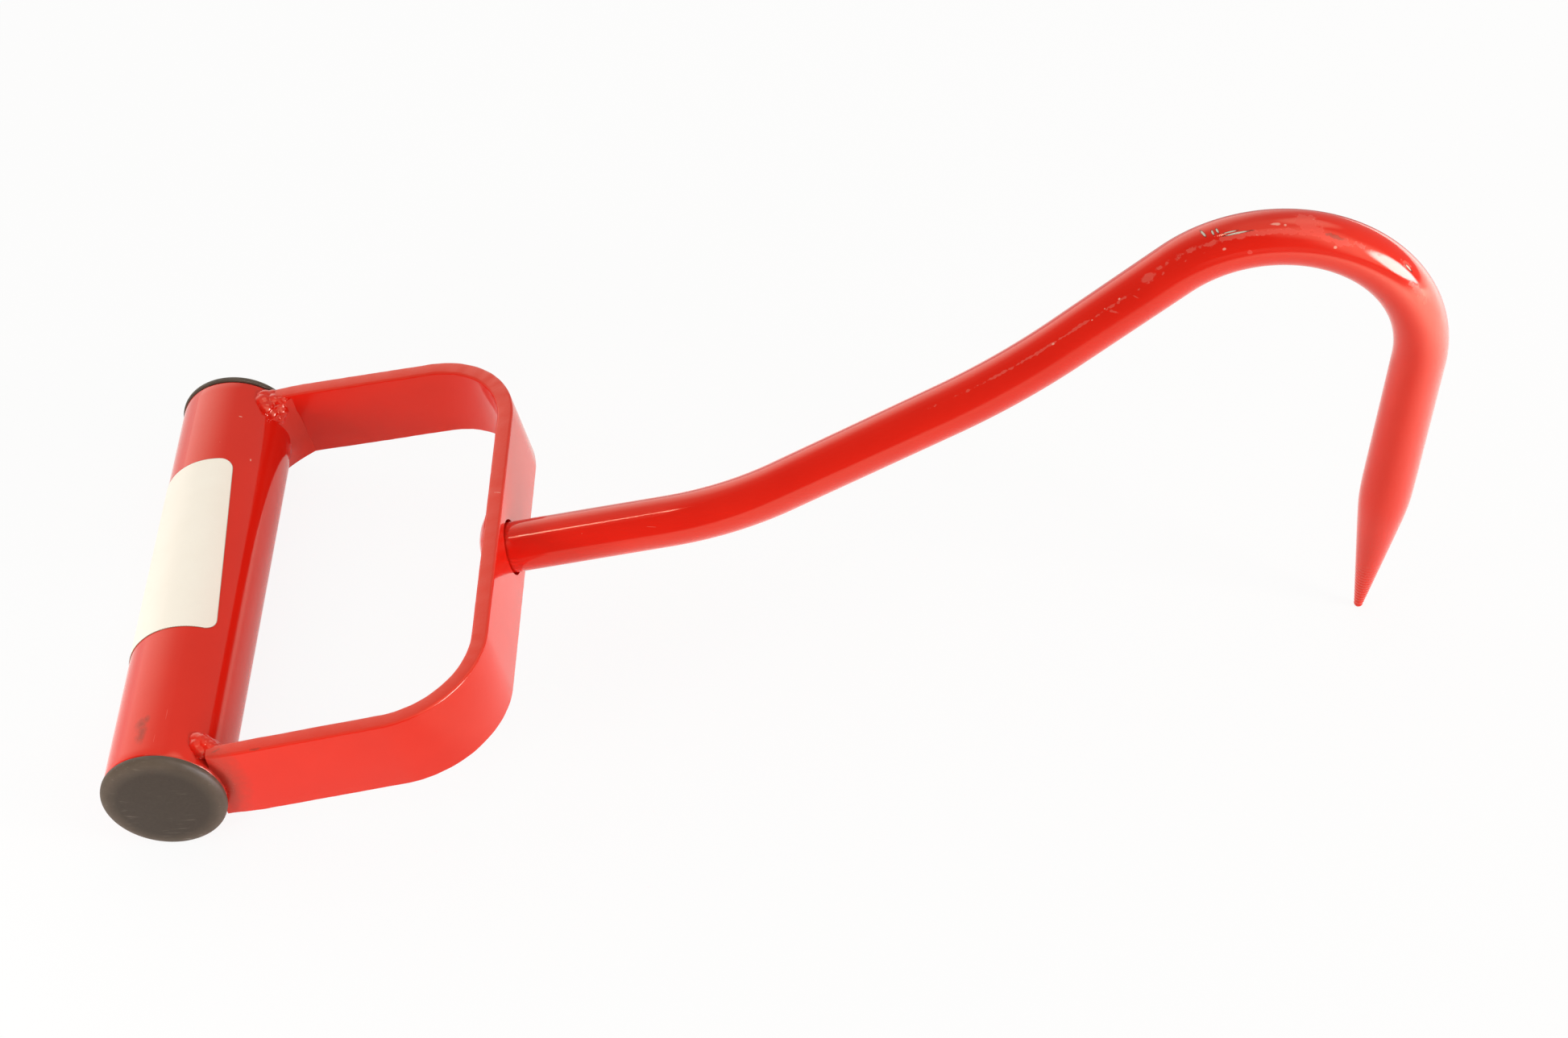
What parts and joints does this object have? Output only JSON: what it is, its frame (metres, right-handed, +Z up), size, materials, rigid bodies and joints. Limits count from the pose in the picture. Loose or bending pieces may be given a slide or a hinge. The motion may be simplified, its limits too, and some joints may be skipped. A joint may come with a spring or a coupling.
{
  "type": "hay hook",
  "caption": "Hand hay hook: a round tube grip closed by a bent flat-bar bow, with a round-bar hook through the bow that rises, curls over and ends in a blunt tapered point.",
  "frame": {"origin": "on the ground under the middle of the bounding box, with the tool lying on both end plugs and the hook's point", "axes": "+X from the grip toward the hook, +Y along the grip toward the left plug, +Z up"},
  "size_m": [0.2754, 0.1178, 0.1094],
  "materials": {
    "red_paint": "glossy red enamel on steel, chipped and scuffed on the crook",
    "plug_rubber": "matt dark grey moulded rubber with fine scratches",
    "label_paper": "smooth cream paper label, left blank"
  },
  "bodies": {
    "root": {"grip_tube": "red_paint", "bow": "red_paint", "hook": "red_paint", "left_plug": "plug_rubber", "right_plug": "plug_rubber", "label": "label_paper", "left_fillet_weld": "red_paint", "right_fillet_weld": "red_paint", "left_tack_weld": "red_paint", "right_tack_weld": "red_paint", "root_weld": "red_paint"}
  },
  "joints": []
}
